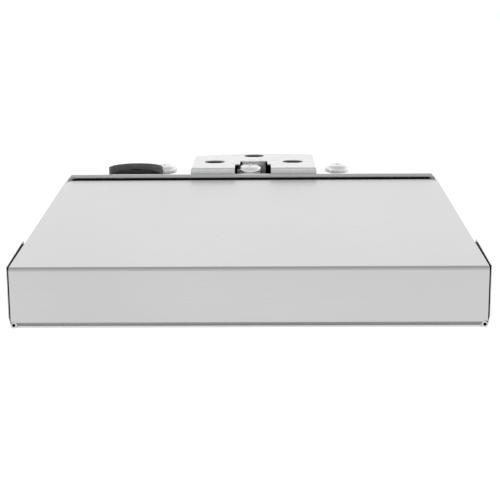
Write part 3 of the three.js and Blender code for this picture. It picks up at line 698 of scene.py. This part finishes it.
# %% Mounting bolts
HEAD_HEIGHT, HEAD_FLANGE, HEAD_WAIST = 12.5 * MM, 2.2 * MM, 0.8 * MM
SHANK, SHANK_LEAD = 4.0 * MM, 1.2 * MM
BOLT_CROSS = (7.0 * MM, 1.1 * MM, 3.0 * MM)
for place in PLACES:
    low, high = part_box(f"mount_bolt_{place}")
    head_radius = (high[0] - low[0]) / 2
    axis = Vector(((low[0] + high[0]) / 2, (low[1] + high[1]) / 2, high[2] - HEAD_HEIGHT))
    foot = low[2] - axis.z
    shank = [(0, foot), (0.7 * SHANK, foot), (SHANK, foot + SHANK_LEAD), (SHANK, 0)]
    bolt = turned_skin(shank + head_profile(head_radius, HEAD_HEIGHT, HEAD_FLANGE, HEAD_WAIST), 96)
    press_cross(bolt, *BOLT_CROSS)
    piece = finish_piece(bolt, f"bolt_{place}", "bright_zinc", "shell", Matrix.Translation(axis))
    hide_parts(f"mount_bolt_{place}")
    print("bolt", place, "head", round(2 * head_radius / MM, 1), "mm wide")

# %% [markdown]
# Grease filters. The real panel is layers of expanded aluminium: a sheet slit and stretched into
# diamonds. An image of a net would look flat from the side, and a wireframe of a grid has square
# joints. Here each strand is a zigzag ribbon that meets its neighbours at the points, so a layer is a
# stack of zigzags, every second one mirrored. Two layers, a quarter of a diamond apart, fill each frame.

# %% Expanded mesh
DIAMOND_LONG, DIAMOND_WIDE = 13.0 * MM, 6.6 * MM
STRAND_HALF, STRAND_THICK = 0.55 * MM, 0.30 * MM
LAYER_INSET = 0.9 * MM


def zigzag(mesh, x_low, x_high, y, flip, z, clip):
    """One zigzag ribbon along X, kept between two Y limits."""
    steps = int((x_high - x_low) / (DIAMOND_LONG / 2))
    swing = DIAMOND_WIDE / 2 - STRAND_HALF
    previous = None
    for k in range(steps + 1):
        x = x_low + (x_high - x_low) * k / steps
        middle = y + swing * (1 if (k + flip) % 2 else -1)
        middle = min(max(middle, clip[0] + STRAND_HALF), clip[1] - STRAND_HALF)
        twist = 0.35 * STRAND_THICK * (1 if k % 2 else -1)
        ring = [mesh.verts.new((x, middle + dy * STRAND_HALF, z + dz * STRAND_THICK + twist))
                for dy, dz in ((-1, -1), (1, -1), (1, 1), (-1, 1))]
        if previous:
            for a in range(4):
                b = (a + 1) % 4
                mesh.faces.new((previous[a], previous[b], ring[b], ring[a]))
        else:
            mesh.faces.new(ring)
        previous = ring
    mesh.faces.new(previous[::-1])


def mesh_layer(mesh, low, high, z, start):
    """One layer of diamonds; start moves it along X against its neighbour."""
    rows = int((high[1] - low[1]) / DIAMOND_WIDE)
    pitch = (high[1] - low[1]) / rows
    for row in range(rows):
        zigzag(mesh, low[0] + start, high[0], low[1] + pitch * (row + 0.5), row % 2, z, (low[1], high[1]))


for side in SIDES:
    low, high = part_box(f"filter_mesh_{side}")
    panel = bmesh.new()
    mesh_layer(panel, low, high, low[2] + LAYER_INSET, 0.0)
    mesh_layer(panel, low, high, high[2] - LAYER_INSET, DIAMOND_LONG / 4)
    bmesh.ops.recalc_face_normals(panel, faces=panel.faces)
    piece = finish_piece(panel, f"filter_panel_{side}", "filter_aluminium", f"filter_{side}", turn=60)
    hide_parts(f"filter_mesh_{side}")
    print("filter panel", side, len(piece.data.polygons), "faces")

# %% [markdown]
# Small screws. Sheet metal is held by pan head screws: on the duct flange, along the edges of the bottom
# pan, and on the deck over the junction box. They all share one turned head, which is turned to face
# outwards and set on its sheet. Only the head shows, so there is no thread.

# %% Pan head screws
SCREW_RADIUS, SCREW_HEIGHT = 3.4 * MM, 1.9 * MM
SCREW_FLANGE, SCREW_WAIST = 0.4 * MM, 0.1 * MM
SCREW_CROSS = (1.9 * MM, 0.3 * MM, 0.8 * MM)


def pan_screw(name, place, facing):
    """A pan head screw whose head sits on a face and points along a direction."""
    profile = [(0, 0)] + head_profile(SCREW_RADIUS, SCREW_HEIGHT, SCREW_FLANGE, SCREW_WAIST)
    head = turned_skin(profile, 32)
    press_cross(head, *SCREW_CROSS)
    turn = Vector(facing).to_track_quat("Z", "Y").to_matrix().to_4x4()
    return finish_piece(head, name, "zinc_plate", "shell", Matrix.Translation(place) @ turn)


print("helper: pan_screw, head", round(2 * SCREW_RADIUS / MM, 1), "mm wide")

# %% [markdown]
# Where the screws go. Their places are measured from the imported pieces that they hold, so they follow if
# one of those is changed: so many millimetres in from an edge, or a share of a length.

# %% Place the screws
FLANGE_IN, FLANGE_UP, FLANGE_SHEET = 6 * MM, 12 * MM, 1.5 * MM
PAN_IN, PAN_SHARES = 7 * MM, (0.04, 0.5, 0.96)
DECK_SHARES, DECK_SINK = ((0.07, 0.1), (0.07, 0.9), (0.93, 0.9)), 0.3 * MM
collar, pan, wiring_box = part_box("duct_collar"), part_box("bottom_pan"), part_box("junction_box")
screws = []
for side, x in (("left", collar[0][0] + FLANGE_IN), ("right", collar[1][0] - FLANGE_IN)):
    for level, z in (("low", collar[0][2] + FLANGE_UP), ("high", collar[1][2] - FLANGE_UP)):
        spot = (x, collar[0][1] + FLANGE_SHEET, z)
        screws.append(pan_screw(f"duct_screw_{side}_{level}", spot, (0, 1, 0)))
for side, x in (("left", pan[0][0] + PAN_IN), ("right", pan[1][0] - PAN_IN)):
    for number, share in enumerate(PAN_SHARES, 1):
        y = pan[0][1] + share * (pan[1][1] - pan[0][1])
        screws.append(pan_screw(f"pan_screw_{side}_{number}", (x, y, pan[0][2]), (0, 0, -1)))
deck_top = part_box("hanging_bracket")[0][2] - DECK_SINK
for number, shares in enumerate(DECK_SHARES, 1):
    spot = [wiring_box[0][a] + share * (wiring_box[1][a] - wiring_box[0][a])
            for a, share in enumerate(shares)]
    screws.append(pan_screw(f"deck_screw_{number}", (*spot, deck_top), (0, 0, 1)))
print("small screws", len(screws))
